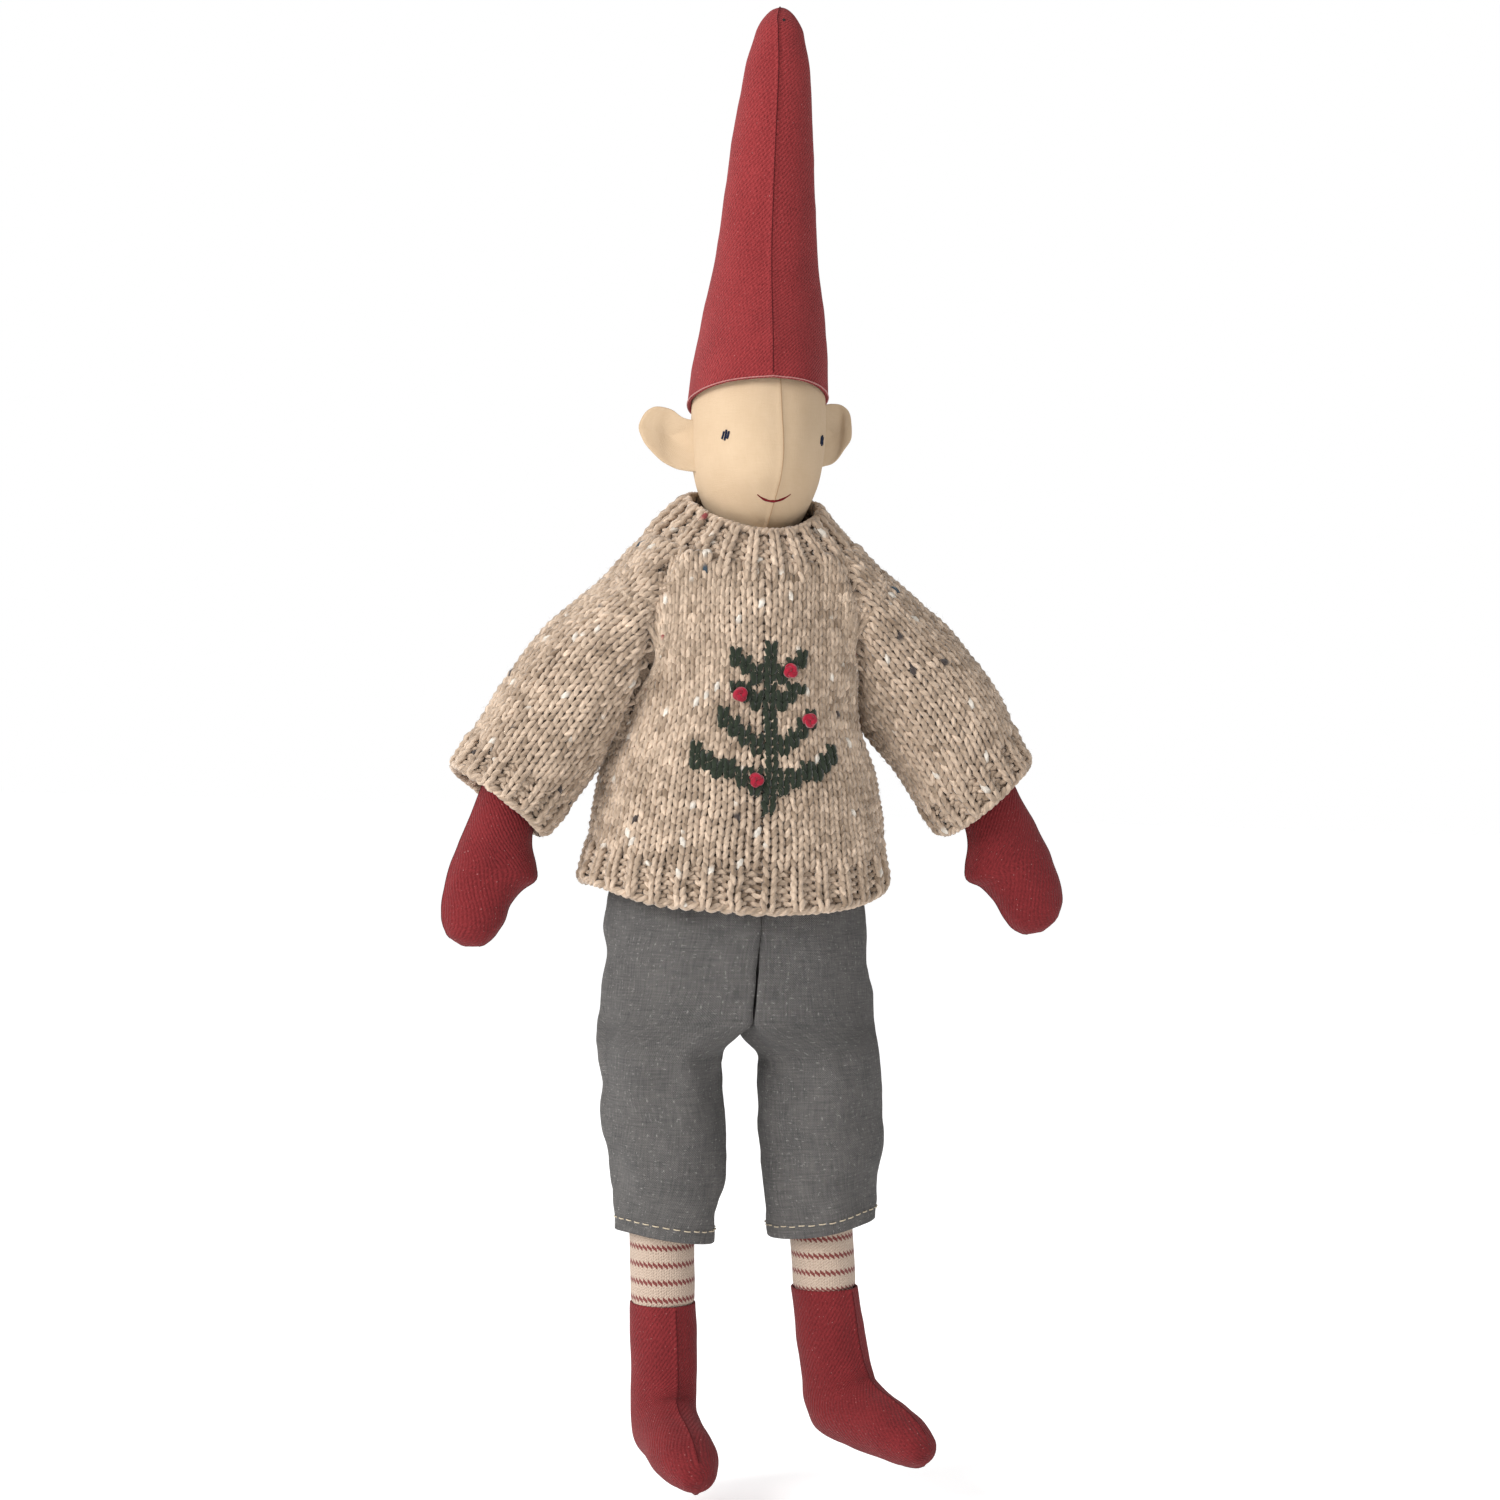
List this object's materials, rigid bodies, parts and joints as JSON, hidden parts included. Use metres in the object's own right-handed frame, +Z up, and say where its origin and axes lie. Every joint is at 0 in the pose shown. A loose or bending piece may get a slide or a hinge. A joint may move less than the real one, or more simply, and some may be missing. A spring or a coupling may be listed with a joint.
{
  "type": "stuffed cloth pixy doll",
  "caption": "Stuffed cloth pixy doll with a tall pointed red hat, large ears, tweed sweater with a fir tree, grey trousers, red mittens and red boots.",
  "frame": {"origin": "the tip of the pointed hat, where the doll hangs by a thread", "axes": "+Z up along the hanging doll, -Y the way its face looks, +X towards its own left hand"},
  "size_m": [0.1952, 0.0684, 0.464],
  "materials": {
    "red_wool": "matte",
    "cream_cotton": "matte",
    "tweed_knit": "matte",
    "grey_linen": "matte",
    "striped_jersey": "matte",
    "green_yarn": "matte",
    "red_yarn": "matte",
    "navy_thread": "matte",
    "maroon_thread": "matte",
    "wadding": "matte",
    "elastic": "matte"
  },
  "bodies": {
    "head": {"hat_left": "red_wool", "hat_right": "red_wool", "hat_filling": "wadding", "face_left": "cream_cotton", "face_right": "cream_cotton", "head_filling": "wadding", "ear_left": "cream_cotton", "ear_right": "cream_cotton", "eye_left": "navy_thread", "eye_right": "navy_thread", "mouth": "maroon_thread"},
    "torso": {"body_front": "cream_cotton", "body_back": "cream_cotton", "body_filling": "wadding", "sweater_front": "tweed_knit", "sweater_back": "tweed_knit", "collar": "tweed_knit", "fir_tree": "green_yarn", "red_knot_1": "red_yarn", "red_knot_2": "red_yarn", "red_knot_3": "red_yarn", "red_knot_4": "red_yarn", "trouser_seat_left": "grey_linen", "trouser_seat_right": "grey_linen", "waist_elastic": "elastic"},
    "arm_right": {"sleeve_right": "tweed_knit", "arm_skin_right": "cream_cotton", "arm_filling_right": "wadding", "mitten_front_right": "red_wool", "mitten_back_right": "red_wool", "mitten_filling_right": "wadding"},
    "leg_right": {"trouser_leg_right": "grey_linen", "stocking_right": "striped_jersey", "leg_filling_right": "wadding", "boot_inner_right": "red_wool", "boot_outer_right": "red_wool", "boot_filling_right": "wadding"},
    "arm_left": {"sleeve_left": "tweed_knit", "arm_skin_left": "cream_cotton", "arm_filling_left": "wadding", "mitten_front_left": "red_wool", "mitten_back_left": "red_wool", "mitten_filling_left": "wadding"},
    "leg_left": {"trouser_leg_left": "grey_linen", "stocking_left": "striped_jersey", "leg_filling_left": "wadding", "boot_inner_left": "red_wool", "boot_outer_left": "red_wool", "boot_filling_left": "wadding"}
  },
  "joints": [
    {"name": "neck_turn", "type": "hinge", "parent": "head", "child": "torso", "pos_m": [-0.002, 0, -0.168], "axis": [0, 0, 1], "range_deg": [-30, 30]},
    {"name": "shoulder_swing_right", "type": "hinge", "parent": "torso", "child": "arm_right", "pos_m": [-0.042, 0, -0.199], "axis": [-1, 0, 0], "range_deg": [-35, 75]},
    {"name": "shoulder_swing_left", "type": "hinge", "parent": "torso", "child": "arm_left", "pos_m": [0.032, 0, -0.199], "axis": [-1, 0, 0], "range_deg": [-35, 75]},
    {"name": "hip_swing_right", "type": "hinge", "parent": "torso", "child": "leg_right", "pos_m": [-0.0274, 0, -0.312], "axis": [-1, 0, 0], "range_deg": [-20, 90]},
    {"name": "hip_swing_left", "type": "hinge", "parent": "torso", "child": "leg_left", "pos_m": [0.0222, 0, -0.312], "axis": [-1, 0, 0], "range_deg": [-20, 90]}
  ]
}
